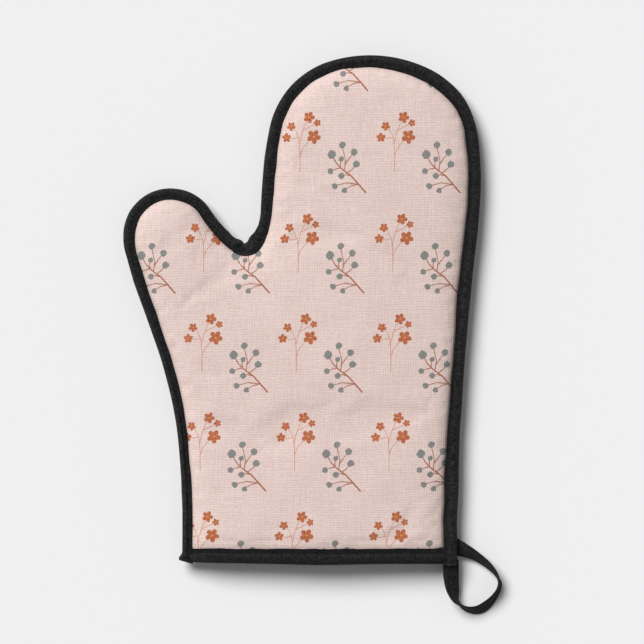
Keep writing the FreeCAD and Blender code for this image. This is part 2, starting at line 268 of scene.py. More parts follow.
# A flower's parts, as shares of its radius.
PETAL_PLACE = 0.62
PETAL_SIZE = 0.355
PETAL_SQUASH = 0.86
HEART_SIZE = 0.34
EYE_SIZE = 0.15
SPRIG_STEMS = [
    [(-0.9, -23.2), (-0.9, -16.0), (-1.2, -9.0), (-2.0, -2.0), (-4.0, 2.2), (-7.5, 5.0)],
    [(-2.0, -2.0), (-6.0, -2.6), (-10.5, -2.0)],
    [(-1.2, -14.0), (0.6, -8.8), (3.8, -4.8), (8.0, -1.5)],
    [(-1.4, -6.0), (0.0, 1.0), (2.0, 6.0), (4.5, 10.5)],
    [(0.6, 2.4), (4.4, 4.4), (10.0, 7.0)],
]
SPRIG_FLOWERS = [
    # centre, radius, turn
    ((-7.0, 5.0), 2.8, 0.3),
    ((-9.9, -2.0), 2.9, 0.9),
    ((4.4, 10.5), 3.5, 0.1),
    ((9.7, 7.0), 2.3, 0.6),
    ((7.6, -1.5), 4.3, 0.2),
]
TWIG_TRUNK = [(13.6, -16.3), (9.0, -11.2), (4.3, -6.1), (-0.3, -2.9), (-2.6, -1.0), (-5.4, 1.9), (-8.0, 6.4)]
TWIG_SHOOTS = [
    [(-0.3, -2.9), (0.4, 3.5), (-1.7, 12.0)],
    [(0.2, 1.0), (2.6, 4.6), (5.2, 8.0)],
    [(1.6, -4.3), (4.6, -2.2), (7.2, 0.6)],
    [(-2.6, -1.0), (-2.9, 1.8), (-2.3, 4.2)],
    [(-2.6, -1.0), (-5.6, -1.7), (-8.8, -2.8)],
    [(4.3, -6.1), (0.8, -5.2), (-2.0, -6.0)],
    [(9.0, -11.2), (1.2, -10.3), (-5.8, -12.1)],
    [(9.0, -11.2), (4.4, -12.2), (0.0, -14.9)],
]
TWIG_BERRIES = [
    # centre, radius
    ((-1.7, 13.2), 2.05),
    ((-8.5, 7.3), 2.7),
    ((5.7, 8.8), 2.2),
    ((-2.3, 4.5), 1.6),
    ((7.4, 1.2), 2.2),
    ((-9.1, -3.0), 1.8),
    ((-2.1, -6.0), 1.9),
    ((-6.2, -12.3), 1.9),
    ((0.0, -15.1), 1.8),
]

# Thread pitches, in millimetres.
PRINTED_WEAVE = (1.45, 1.60)
LINING_WEAVE = (0.8, 0.85)
WEAVE_DRIFT = 1.6       # how far the weave's threads wander
TWILL_PITCH = 0.9
CROSS_PITCH = 0.55      # of the finer threads across the twill's ribs
PLY_PITCH = 0.35

# Light: a wide soft sun from the upper left, and an even pale sky.
SUN_FROM = (-0.53, 0.63, 1.0)
SUN_SPREAD = 31.0
SKY_STRENGTH = 0.22
LIGHT_LEVEL = 0.968     # how bright a white card on the floor is
FLOOR_REACH = 2.0
SUN_STRENGTH = (LIGHT_LEVEL - SKY_STRENGTH) * math.pi * math.hypot(*SUN_FROM)

# The camera looks straight down at this point. The lens is long, and its distance gives the view's width.
CAMERA_TARGET = (0.0130, -0.0078)
VIEW_WIDTH = 0.4122
CAMERA_LENS = 250.0
SENSOR = 36.0


# -------- small helpers
def smooth_step(low, high, value):
    """0 below the low value and 1 above the high one, with a smooth change between them."""
    t = np.clip((value - low) / (high - low), 0.0, 1.0)
    return t * t * (3 - 2 * t)


def bell(offset, reach):
    """1 at no offset, dying away smoothly over a reach."""
    return np.exp(-(offset / reach) ** 2)


def smoothed(values, rounds):
    """A run of values with its corners rounded, and both ends kept."""
    for _ in range(rounds):
        middle = (values[:-2] + 2 * values[1:-1] + values[2:]) / 4
        values = np.concatenate((values[:1], middle, values[-1:]))
    return values


def lengths_along(line):
    """The length walked to each point of a line."""
    return np.concatenate(([0.0], np.cumsum(np.linalg.norm(np.diff(line, axis=0), axis=1))))


def sampled(rows, walked, places):
    """Rows that belong to lengths walked, at other places between them."""
    return np.column_stack([np.interp(places, walked, column) for column in rows.T])


def evenly_spaced(line, spacing):
    """Points on a line at even lengths along it."""
    walked = lengths_along(line)
    return sampled(line, walked, np.linspace(0, walked[-1], round(walked[-1] / spacing) + 1))


def wobble(values, pitch, seed, size):
    """Smooth unevenness along a length."""
    return np.array([size * noise.noise(Vector((v / pitch, seed, 0))) for v in values])


def set_attribute(mesh, name, values):
    """Keep one vector for each of a mesh's points, for its material to read."""
    attribute = mesh.attributes.new(name, "FLOAT_VECTOR", "POINT")
    attribute.data.foreach_set("vector", np.asarray(values, np.float32).ravel())


def in_scene(name, data):
    """A new object in the scene."""
    obj = bpy.data.objects.new(name, data)
    bpy.context.scene.collection.objects.link(obj)
    return obj


def new_object(name, vertices, faces, smooth=True):
    """A mesh object in the scene."""
    mesh = bpy.data.meshes.new(name)
    mesh.from_pydata([tuple(v) for v in vertices], [], [tuple(f) for f in faces])
    mesh.validate()
    if smooth:
        mesh.shade_smooth()
    return in_scene(name, mesh)


def vectors(items, field):
    """One vector of each of a mesh's items, as rows."""
    flat = np.zeros(len(items) * 3, np.float32)
    items.foreach_get(field, flat)
    return flat.reshape(-1, 3).astype(float)


def coordinates(mesh):
    return vectors(mesh.vertices, "co")


def set_coordinates(mesh, points):
    mesh.vertices.foreach_set("co", np.asarray(points, np.float32).ravel())
    mesh.update()


def apply_modifiers(obj):
    """Replace an object's mesh by what its modifiers make of it."""
    evaluated = obj.evaluated_get(bpy.context.evaluated_depsgraph_get())
    mesh = bpy.data.meshes.new_from_object(evaluated)
    obj.modifiers.clear()
    obj.data = mesh
    return obj


def grid_faces(rows, columns, close_columns=False):
    """Quads between neighbouring rows of points."""
    faces = []
    last = columns if close_columns else columns - 1
    for i in range(rows - 1):
        for j in range(last):
            k = (j + 1) % columns
            faces.append((i * columns + j, i * columns + k, (i + 1) * columns + k, (i + 1) * columns + j))
    return faces


def tube_faces(rows, columns):
    """Quads of a closed tube of rings, with both ends capped."""
    faces = grid_faces(rows, columns, close_columns=True)
    faces.append(tuple(range(columns)))
    faces.append(tuple((rows - 1) * columns + j for j in reversed(range(columns))))
    return faces


# -------- the bound edge
def walk_outline():
    """Points on the bound edge, the normals that point into the cloth, and the length walked."""
    points = [np.array([[CUFF_LEFT_X, CUFF_Y]])]
    normals = [np.array([[1.0, 0.0]])]
    heading = math.pi / 2
    for size, turn in OUTLINE:
        start = points[-1][-1]
        if turn == 0:
            count = math.ceil(size / OUTLINE_STEP)
            angles = np.full(count, heading)
            walked = np.linspace(0, size, count + 1)[1:]
            points.append(start + np.outer(walked, (math.cos(heading), math.sin(heading))))
        else:
            count = max(8, math.ceil(size * math.radians(abs(turn)) / OUTLINE_STEP))
            angles = heading + np.linspace(0, math.radians(turn), count + 1)[1:]
            radius = math.copysign(size, turn)
            centre = start + radius * np.array((-math.sin(heading), math.cos(heading)))
            points.append(centre + radius * np.column_stack((np.sin(angles), -np.cos(angles))))
            heading = angles[-1]
        normals.append(np.column_stack((np.sin(angles), -np.cos(angles))))
    start = points[-1][-1]
    count = math.ceil((start[1] - CUFF_Y) / OUTLINE_STEP)
    points.append(np.column_stack((np.full(count, start[0]), np.linspace(start[1], CUFF_Y, count + 1)[1:])))
    normals.append(np.tile((-1.0, 0.0), (count, 1)))
    points = np.vstack(points)
    return points, np.vstack(normals), lengths_along(points)


EDGE_POINTS, EDGE_NORMALS, EDGE_LENGTHS = walk_outline()
EDGE_LENGTH = EDGE_LENGTHS[-1]
EDGE_TREE = kdtree.KDTree(len(EDGE_POINTS))
for place, (edge_x, edge_y) in enumerate(EDGE_POINTS):
    EDGE_TREE.insert((edge_x, edge_y, 0), place)
EDGE_TREE.balance()
CROTCH = (-0.0368, 0.0426, 0)
TUCK_PLACE = EDGE_LENGTHS[EDGE_TREE.find(CROTCH)[1]]


def edge_at(lengths):
    """Point and inward normal of the bound edge at lengths along it."""
    normal = sampled(EDGE_NORMALS, EDGE_LENGTHS, lengths)
    normal /= np.linalg.norm(normal, axis=1)[:, None]
    return sampled(EDGE_POINTS, EDGE_LENGTHS, lengths), normal


def edge_place(points):
    """How far inside the bound edge each (x, y) lies, and the length walked to there."""
    found = np.array([EDGE_TREE.find((x, y, 0))[1] for x, y in points])
    inset = np.einsum("ij,ij->i", points - EDGE_POINTS[found], EDGE_NORMALS[found])
    return inset, EDGE_LENGTHS[found]


def binding_width(walked):
    """How far the side binding's inner edge lies inside the cut edge."""
    walked = np.atleast_1d(walked)
    width = np.interp(walked / EDGE_LENGTH, BINDING_SHARES, BINDING_WIDTHS)
    width += wobble(walked, 0.013, 1.5, 0.0004)
    return width + TUCK_EXTRA * bell(walked - TUCK_PLACE - TUCK_EXTRA_PLACE, TUCK_EXTRA_REACH)


def inset_curve(insets, spacing):
    """Evenly spaced points on a curve inside the bound edge."""
    return evenly_spaced(EDGE_POINTS + EDGE_NORMALS * np.reshape(insets, (-1, 1)), spacing)


# -------- the camera
def add_camera():
    data = bpy.data.cameras.new("camera")
    data.lens = CAMERA_LENS
    data.sensor_width = SENSOR
    camera = in_scene("camera", data)
    camera.location = (*CAMERA_TARGET, SEAM_Z + VIEW_WIDTH * CAMERA_LENS / SENSOR)
    bpy.context.scene.camera = camera


# -------- the hanging loop
def route_line(route):
    """The points of the smooth line of a route."""
    curve = bpy.data.curves.new("route", "CURVE")
    curve.dimensions = "3D"
    spline = curve.splines.new("NURBS")
    spline.points.add(len(route) - 1)
    for point, place in zip(spline.points, route):
        point.co = (*place, 1)
    spline.order_u = 3
    spline.use_endpoint_u = True
    spline.resolution_u = 24
    carrier = in_scene("route", curve)
    line = coordinates(bpy.data.meshes.new_from_object(carrier))
    bpy.data.objects.remove(carrier)
    return line


def directions(line):
    """Unit vectors along a line."""
    change = np.gradient(line, axis=0)
    return change / np.linalg.norm(change, axis=1)[:, None]


def hanging_loop():
    """Folded tape along the route, turning over on its way round."""
    line = route_line(LOOP_ROUTE)
    length = lengths_along(line)[-1]
    line = evenly_spaced(line, LOOP_STEP)
    share = np.linspace(0, 1, len(line))
    along = directions(line)
    side = np.cross((0, 0, 1), along)
    side /= np.linalg.norm(side, axis=1)[:, None]
    lift = np.cross(along, side)
    turn = smoothed(np.radians(np.interp(share, LOOP_TWIST_SHARES, LOOP_TWIST)), TWIST_ROUNDS)
    across = np.cos(turn)[:, None] * side + np.sin(turn)[:, None] * lift
    out = np.cross(along, across)
    # shares of the width and of the thickness round the section, with rounded edges
    ring = np.linspace(0, 2 * math.pi, LOOP_RING, endpoint=False)
    ring_u = np.arcsin(np.cos(ring)) / math.pi
    ring_v = 0.5 * np.sign(np.sin(ring)) * np.sqrt(1 - np.minimum(1, np.abs(2 * ring_u)) ** 8)
    vertices = []
    tape = []
    for i, point in enumerate(line):
        width = LOOP_WIDTH * (1 + LOOP_UNEVENNESS * noise.noise(Vector((share[i] * 9, 3.1, 0))))
        cup = LOOP_CUP + LOOP_CUP_CHANGE * noise.noise(Vector((share[i] * 5, 8.7, 0)))
        for u, v in zip(ring_u, ring_v):
            channel = LOOP_CHANNEL * bell(abs(u) - LOOP_CHANNEL_PLACE, LOOP_CHANNEL_REACH)
            depth = v * LOOP_THICKNESS - math.copysign(channel, v) + cup * (1 - 4 * u * u)
            vertices.append(point + across[i] * u * width + out[i] * depth)
            tape.append((share[i] * length, u * width, 0))
    obj = new_object("hanging_loop_tape", vertices, tube_faces(len(line), len(ring)))
    set_attribute(obj.data, "tape", tape)
    return obj, line, length


# -------- the panels
def flat_cut():
    """One half's flat piece of cloth: a fine even triangle mesh inside the bound edge."""
    border = inset_curve(TUCK, CLOTH_SPACING)
    border = border[border[:, 1] > CUT_Y]
    cuff_count = round((border[-1][0] - border[0][0]) / CLOTH_SPACING)
    cuff_x = np.linspace(border[-1][0], border[0][0], cuff_count + 1)
    border = np.vstack((border, np.column_stack((cuff_x, np.full(len(cuff_x), CUT_Y)))))
    low = border.min(axis=0)
    high = border.max(axis=0)
    row_height = CLOTH_SPACING * math.sqrt(0.75)
    inner = []
    for row, y in enumerate(np.arange(low[1] + row_height, high[1], row_height)):
        shift = CLOTH_SPACING / 2 * (row % 2)
        inner += [(x + shift, y) for x in np.arange(low[0], high[0], CLOTH_SPACING)]
    inner = np.array(inner)
    inner = inner[beyond_binding(inner) > RIM_ROWS[-1] + RIM_GAP]
    inner_edge = binding_width(EDGE_LENGTHS)
    rims = np.vstack([inset_curve(inner_edge + offset, RIM_SPACING) for offset in RIM_ROWS])
    inner = np.vstack((rims[rims[:, 1] > CUT_Y + CUT_GAP], inner))
    loop = [(i, (i + 1) % len(border)) for i in range(len(border))]
    points = [Vector(p) for p in np.vstack((border, inner))]
    cut = geometry.delaunay_2d_cdt(points, loop, [], 1, 1e-7)
    return np.array([tuple(p) for p in cut[0]]), [tuple(f) for f in cut[2]]


def beyond_binding(points):
    """How far each (x, y) lies past the inner edge of the side binding."""
    inset, walked = edge_place(points)
    return inset - binding_width(walked)


def puff(beyond, rise):
    """Height over the seam of cloth that swells out of the binding and levels out."""
    past = np.maximum(beyond - LIP, 0)
    swell = sum(share * (1 - np.exp(-past / reach)) for share, reach in SWELLS)
    return SEAM_STACK + (rise - SEAM_STACK) * swell


def folds(points, fold_list):
    """Low soft ridges and hollows."""
    height = np.zeros(len(points))
    for centre, degrees, length, width, rise in fold_list:
        direction = np.array((math.cos(math.radians(degrees)), math.sin(math.radians(degrees))))
        offset = points - centre
        along = offset @ direction
        across = offset @ np.array((-direction[1], direction[0]))
        height += rise * np.exp(-(along / length) ** 2 - (across / width) ** 2)
    return height


def unevenness(points, seed):
    """Slow swells of the padding."""
    def height(x, y):
        return sum(rise * noise.noise(Vector((x * pace, y * pace, seed + shift)))
                   for pace, rise, shift in PADDING_SWELLS)
    return np.array([height(x, y) for x, y in points])


def gathers(beyond, walked):
    """Small puckers where the binding's stitches catch the cloth."""
    wave = sum(share * np.sin(walked * 2 * math.pi / pitch + phase) for pitch, share, phase in PUCKERS)
    return PUCKER_HEIGHT * wave * bell(beyond - PUCKER_PLACE, PUCKER_REACH)


def resting_heights(points, faces, rise, fold_list, seed):
    """Height over the seam of one half's outer cloth before it settles."""
    inset, walked = edge_place(points)
    beyond = inset - binding_width(walked)
    height = puff(beyond, rise - PANEL_SAG)
    corners = np.array(faces)
    edges = np.vstack((corners[:, (0, 1)], corners[:, (1, 2)], corners[:, (2, 0)]))
    counts = np.bincount(edges[:, 0], minlength=len(points))
    at_cuff = 1 - smooth_step(LEG_Y, LEG_Y + CUFF_FADE, points[:, 1])
    free = smooth_step(LEVEL_FROM, LEVEL_FULL, beyond) * (1 - at_cuff)
    for _ in range(LEVEL_ROUNDS):
        mean = np.bincount(edges[:, 0], height[edges[:, 1]], len(points)) / counts
        height += free * 0.5 * (mean - height)
    height += smooth_step(*FOLD_FADE, beyond) * (folds(points, fold_list) + unevenness(points, seed))
    height += gathers(beyond, walked)
    height += at_cuff * (puff(beyond, rise - CUFF_SQUEEZE) - height)
    pinch = bell(points[:, 1] - LEG_Y + STITCH_INSET, PINCH_WIDTH) * smooth_step(*PINCH_FADE, beyond)
    return height - CUFF_PINCH * pinch


def relax(obj, held):
    """Let pinned cloth settle under a little pressure, as a cloth simulation, and keep the result."""
    group = obj.vertex_groups.new(name="held")
    for place, weight in enumerate(held):
        group.add([place], float(weight), "REPLACE")
    cloth = obj.modifiers.new("cloth", "CLOTH")
    for setting, value in CANVAS.items():
        setattr(cloth.settings, setting, value)
    cloth.settings.vertex_group_mass = group.name
    cloth.settings.effector_weights.gravity = 0
    cloth.point_cache.frame_start = 1
    cloth.point_cache.frame_end = SETTLE_FRAMES
    for number in range(1, SETTLE_FRAMES + 1):
        bpy.context.scene.frame_set(number)
    apply_modifiers(obj)
    bpy.context.scene.frame_set(1)
    obj.vertex_groups.clear()


def outer_cloth(name, side, rise, fold_list, seed):
    """The printed cloth of one half. The side is 1 for the front and -1 for the back."""
    heights = resting_heights(CUT_POINTS, CUT_FACES, rise, fold_list, seed)
    faces = CUT_FACES if side > 0 else [face[::-1] for face in CUT_FACES]
    rest = np.column_stack((CUT_POINTS, SEAM_Z + side * heights))
    obj = new_object(name, rest, faces)
    set_attribute(obj.data, "cloth", print_place(CUT_POINTS, side))
    held = 1 - smooth_step(*HELD_RIM, beyond_binding(CUT_POINTS))
    held = np.maximum(held, 1 - smooth_step(LEG_Y, LEG_Y + HELD_CUFF, CUT_POINTS[:, 1]))
    relax(obj, held)
    moved = coordinates(obj.data) - rest
    distance = np.linalg.norm(moved, axis=1)[:, None]
    rest = rest + moved * np.minimum(1, SETTLE_CAP / np.maximum(distance, 1e-9))
    rest[:, 2] = np.maximum(rest[:, 2], FLOOR_GAP)
    set_coordinates(obj.data, rest)
    obj.modifiers.new("finer", "SUBSURF").levels = 1
    return apply_modifiers(obj)


def print_place(points, side):
    """Where each point of the cloth lies on the printed bolt, in millimetres.

    The bolt's threads lie a little askew, and the cloth is drawn in at the fingertips.
    """
    x = side * points[:, 0] * 1000 + PRINT_AT[side][0]
    y = points[:, 1] * 1000 + PRINT_AT[side][1]
    high = np.maximum(0, y)
    return np.column_stack((x - PRINT_SLANT * y, y - PRINT_DRAWN_IN * high * high, np.zeros(len(x))))


def inner_layers(half, outer, side):
    """The batting and the lining that lie inside one half's outer cloth."""
    points = coordinates(outer.data)
    normals = vectors(outer.data.vertex_normals, "vector")
    faces = [tuple(polygon.vertices) for polygon in outer.data.polygons]
    beyond = beyond_binding(points[:, :2])
    full = smooth_step(*FULL_PADDING, beyond) * smooth_step(LEG_Y, LEG_Y + FULL_CUFF, points[:, 1])
    stack = (SEAM_STACK + (PANEL_STACK - SEAM_STACK) * full)[:, None]

    def kept_on_its_side(layer, gap):
        layer[:, 2] = SEAM_Z + side * np.maximum(side * (layer[:, 2] - SEAM_Z), gap)
        return layer

    lining = new_object(half + "_lining_cloth", kept_on_its_side(points - normals * stack, LINING_GAP),
                        [face[::-1] for face in faces])
    set_attribute(lining.data, "cloth", vectors(outer.data.attributes["cloth"].data, "vector"))
    upper = kept_on_its_side(points - normals * CLOTH, LINING + BATTING_GAPS[0])
    lower = kept_on_its_side(points - normals * (stack - LINING), LINING + BATTING_GAPS[1])
    batting = closed_between(half + "_batting_pad", upper, lower, faces)
    return lining, batting


def closed_between(name, upper, lower, faces):
    """A closed solid from two sheets of the same mesh."""
    count = len(upper)
    sides = dict.fromkeys((a, b) for face in faces for a, b in zip(face, face[1:] + face[:1]))
    rim = [(a, b) for a, b in sides if (b, a) not in sides]
    solid = list(faces) + [tuple(i + count for i in face[::-1]) for face in faces]
    solid += [(b, a, a + count, b + count) for a, b in rim]
    return new_object(name, np.vstack((upper, lower)), solid)


# -------- the bindings
# Half of the side binding's section: (distance, height over the seam). The lip's distances are from
# the tape's inner edge, with minus past it over the cloth, and the fold's are from the fold.
BINDING_LIP = [
    (0.0000, 0.00240),
    (-0.00028, 0.00285),
    (-0.00025, 0.00325),
    (0.00010, 0.00350),
    (0.00080, 0.00338),
    (0.00170, 0.00304),
    (0.00240, 0.00335),
    (0.00320, 0.00385),
]
BINDING_FOLD = [
    (0.00320, 0.00420),
    (0.00210, 0.00385),
    (0.00115, 0.00312),
    (0.00045, 0.00225),
    (0.00010, 0.00120),
]
CAVITY_POINTS = 4       # the last points of a section, against the sewn layers
STITCH_ROW = 5          # the place in a section's lip where the stitches sink
LOWER_STITCH_ROW = -CAVITY_POINTS - 1 - STITCH_ROW      # and in the side binding's lower lip
PAINTED_SHADE_REACH = 0.0030     # how far in from its stitched edge a tape has painted shade


def painted_edge_shade(distance, strength):
    """Painted shade of the tape at a distance from its stitched edge, as a length on the tape."""
    return 0.001 * strength * min(1.0, max(0.0, 1 - distance / PAINTED_SHADE_REACH))


def side_binding():
    """Tape folded round the sewn edge, from one corner of the cuff to the other."""
    count = round(EDGE_LENGTH / BINDING_STEP)
    walked = np.linspace(BINDING_START, EDGE_LENGTH, count + 1)
    point, normal = edge_at(walked)
    width = binding_width(walked)
    swell = 1 + wobble(walked, 0.010, 4.5, 0.10) + wobble(walked, 0.0031, 7.5, 0.03)
    from_tuck = walked - TUCK_PLACE
    slip = wobble(walked, 0.017, 9.5, 0.00025) + np.interp(walked / EDGE_LENGTH, DRIFT_SHARES, DRIFT)
    slip += np.interp(from_tuck, TUCK_LENGTHS, TUCK_SLIP)
    slip -= START_FLARE * smooth_step(*FLARE_LENGTH, walked)
    rows = []
    tape = []
    # painted shade along both stitched lips of the tape, at half strength, and none on the fold
    shade = [painted_edge_shade(distance, 0.5) for distance, _ in BINDING_LIP] + [0.0] * len(BINDING_FOLD)
    shade += [0.0] + shade[::-1] + [0.0] * CAVITY_POINTS
    for i in range(count + 1):
        half = [(width[i] - distance, height) for distance, height in BINDING_LIP]
        half += [(slip[i] + distance, height) for distance, height in BINDING_FOLD]
        upper = []
        for inset, height in half:
            # the crease of the mitred tape runs slanting in from the notch, with a raised edge behind it
            behind = from_tuck[i] + CREASE_SLANT * inset
            depth = 1 - smooth_step(*CREASE_FADE, inset)
            crease = 1 + sum(rise * depth * bell(behind + place, reach) for rise, place, reach in CREASES)
            upper.append((inset, height * swell[i] * crease))
        lower = [(inset, -height) for inset, height in reversed(upper)]
        inner = width[i] - LEG_EDGE
        cavity = [(inner, -SEAM_STACK), (EDGE_WRAP, -SEAM_STACK)]
        cavity += [(EDGE_WRAP, SEAM_STACK), (inner, SEAM_STACK)]
        rows.append(upper + [(slip[i] - 0.00005, 0.0)] + lower + cavity)
        tape.append([(walked[i], k * POINT_SPACING, painted_dark) for k, painted_dark in enumerate(shade)])
    return sweep_edge(point, normal, np.array(rows), np.array(tape))


def sweep_edge(point, normal, rows, tape):
    """Put sections of (inset, height) along the bound edge, with closed ends past the cuff."""
    vertices = point[:, None, :] + rows[:, :, 0, None] * normal[:, None, :]
    vertices = np.concatenate((vertices, SEAM_Z + rows[:, :, 1, None]), axis=2)
    outward = np.clip((SLANT_INSET - rows[:, :, 0]) / SLANT_WIDTH, 0, 1)
    near_cuff = smooth_step(CUFF_Y + SLANT_HEIGHT, CUFF_Y, vertices[:, :, 1])
    vertices[:, :, 1] += SLANT_RISE * outward * near_cuff * (vertices[:, :, 0] < 0)

    def end(row):
        """Rings that carry an end on past the cuff's edge and close it."""
        middle = row.mean(axis=0)
        rings = []
        for shift, size in END_RINGS:
            ring = middle + (row - middle) * (1, 1, size)
            ring[-CAVITY_POINTS:, 2] = SEAM_Z
            ring[:, 1] = row[:, 1] - shift
            rings.append(ring)
        return np.array(rings)

    vertices = np.concatenate((end(vertices[0])[::-1], vertices, end(vertices[-1])))
    tape = np.concatenate((tape[:1].repeat(len(END_RINGS), 0), tape, tape[-1:].repeat(len(END_RINGS), 0)))
    obj = new_object("side_binding_tape", vertices.reshape(-1, 3), tube_faces(*vertices.shape[:2]))
    set_attribute(obj.data, "tape", tape.reshape(-1, 3))
    return obj, vertices


# The cuff binding's section: (y over the cuff's cut edge, height over the outer cloth) of the outer
# face from its upper edge down to the fold; the inner face is the same on the lining's side.
CUFF_SECTION = [
    (CUFF_HEIGHT - 0.0002, -0.00080),
    (CUFF_HEIGHT + 0.0002, -0.00050),
    (CUFF_HEIGHT + 0.0001, -0.00005),
    (CUFF_HEIGHT - 0.0004, -0.00005),
    (CUFF_HEIGHT - 0.0011, -0.00042),
    (CUFF_HEIGHT - STITCH_INSET, -0.00100),
    (CUFF_HEIGHT - 0.0027, -0.00065),
    (CUFF_HEIGHT - 0.0038, 0.00030),
    (0.0046, 0.00130),
    (0.0028, 0.00145),
    (0.0012, 0.00095),
    (0.0000, 0.00010),
    (-0.0006, -0.00080),
]


def cuff_binding(half, side, rise):
    """Tape folded over one half's cuff edge: a leg on each face, joined past the edge."""
    left = CUFF_LEFT_X + CUFF_START
    right = EDGE_POINTS[-1][0] - CUFF_START
    x = np.linspace(left, right, round((right - left) / BINDING_STEP) + 1)
    from_left = x - CUFF_LEFT_X - binding_width(0)
    from_right = EDGE_POINTS[-1][0] - x - binding_width(EDGE_LENGTH)
    height = smoothed(puff(np.minimum(from_left, from_right), rise - CUFF_SQUEEZE), CUFF_ROUNDS)
    slope = np.gradient(height, x)
    out = np.column_stack((-slope, np.ones(len(x)))) / np.hypot(slope, 1)[:, None]
    lift = 1 + wobble(x, 0.011, 2.5 * side, 0.22) + wobble(x, 0.0033, 5.5 * side, 0.07)
    upper_edge = wobble(x, 0.009, 3.5 * side, 0.0005) + wobble(x, 0.0025, 6.5 * side, 0.0001)
    lower_edge = wobble(x, 0.021, 8.5 * side, 0.0003) + np.interp(x, CUFF_DROP_X, CUFF_DROP)
    inner = [(y, -SEAM_STACK - TAPE - INNER_PLUMPNESS * h) for y, h in reversed(CUFF_SECTION[:-1])]
    bottom, top = CUFF_CAVITY
    cavity = [(top, -SEAM_STACK), (bottom, -SEAM_STACK), (bottom, 0.0), (top, 0.0)]
    section = CUFF_SECTION + [(CUFF_SECTION[-1][0] - 0.0001, -SEAM_STACK / 2)] + inner + cavity
    vertices = []
    tape = []
    for i, place in enumerate(x):
        for y, thick in section:
            share = y / CUFF_HEIGHT
            moved = y + share * upper_edge[i] + (1 - share) * lower_edge[i]
            thick *= lift[i] if thick > 0 else 1
            across = place + out[i][0] * thick
            z = SEAM_Z + side * max(height[i] + out[i][1] * thick, LEAST_HEIGHT)
            vertices.append((across, CUFF_Y + moved, max(z, FLOOR_GAP)))
            # painted shade: darker below the tape's upper edge, where the cloth above shades it, and darker
            # towards its fold
            tape.append((place, y, max(painted_edge_shade(CUFF_HEIGHT - y, 1.0), painted_edge_shade(max(y, 0), 0.6))))
    faces = tube_faces(len(x), len(section))
    if side > 0:
        faces = [face[::-1] for face in faces]
    obj = new_object(half + "_cuff_tape", vertices, faces)
    set_attribute(obj.data, "tape", tape)
    return obj, np.array(vertices).reshape(len(x), len(section), 3)[:, STITCH_ROW]


# -------- the stitching
def thread(name, middles, along, up, length):
    """Short runs of thread that dip into the tape at both ends."""
    profile = [(-share, girth, rise) for share, girth, rise in reversed(THREAD_PROFILE[1:])]
    profile += THREAD_PROFILE
    angles = np.linspace(0, 2 * math.pi, THREAD_SIDES, endpoint=False)
    across = np.cross(up, along)
    vertices = []
    faces = []
    for middle, ahead, above, beside in zip(middles, along, up, across):
        base = len(vertices)
        for share, girth, rise in profile:
            centre = middle + ahead * share * length / 2 + above * rise
            for angle in angles:
                offset = beside * math.cos(angle) + above * math.sin(angle) * THREAD_FLATNESS
                vertices.append(centre + offset * THREAD_RADIUS * girth)
        faces += [tuple(base + i for i in face) for face in tube_faces(len(profile), THREAD_SIDES)]
    return new_object(name, vertices, faces)


def row_of_stitches(name, line, side):
    """Even stitches along a line on the tape's surface."""
    walked = lengths_along(line)
    places = np.arange(STITCH_PITCH, walked[-1] - STITCH_PITCH / 2, STITCH_PITCH)
    along = sampled(directions(line), walked, places)
    up = np.cross(along, np.cross((0, 0, side), along))
    up /= np.linalg.norm(up, axis=1)[:, None]
    return thread(name, sampled(line, walked, places), along, up, STITCH_LENGTH)


def bar_tacks(rings):
    """Two groups of short bars over the loop's two ends, on the side binding's right run."""
    right_run = rings[len(rings) // 2:]
    middles = []
    for tack_y in (LOOP_ROUTE[1][1], CUFF_Y + LOWER_TACK):
        row = right_run[np.argmin(np.abs(right_run[:, 0, 1] - tack_y))]
        x, _, z = row[TACK_RING_POINT]
        for i in range(TACK_BARS):
            middles.append((x - TACK_INSET, tack_y + (i - (TACK_BARS - 1) / 2) * TACK_PITCH, z))
    ahead = np.tile((1.0, 0, 0), (len(middles), 1))
    up = np.tile((0, 0, 1.0), (len(middles), 1))
    return thread("loop_bar_tack_threads", np.array(middles), ahead, up, TACK_LENGTH)


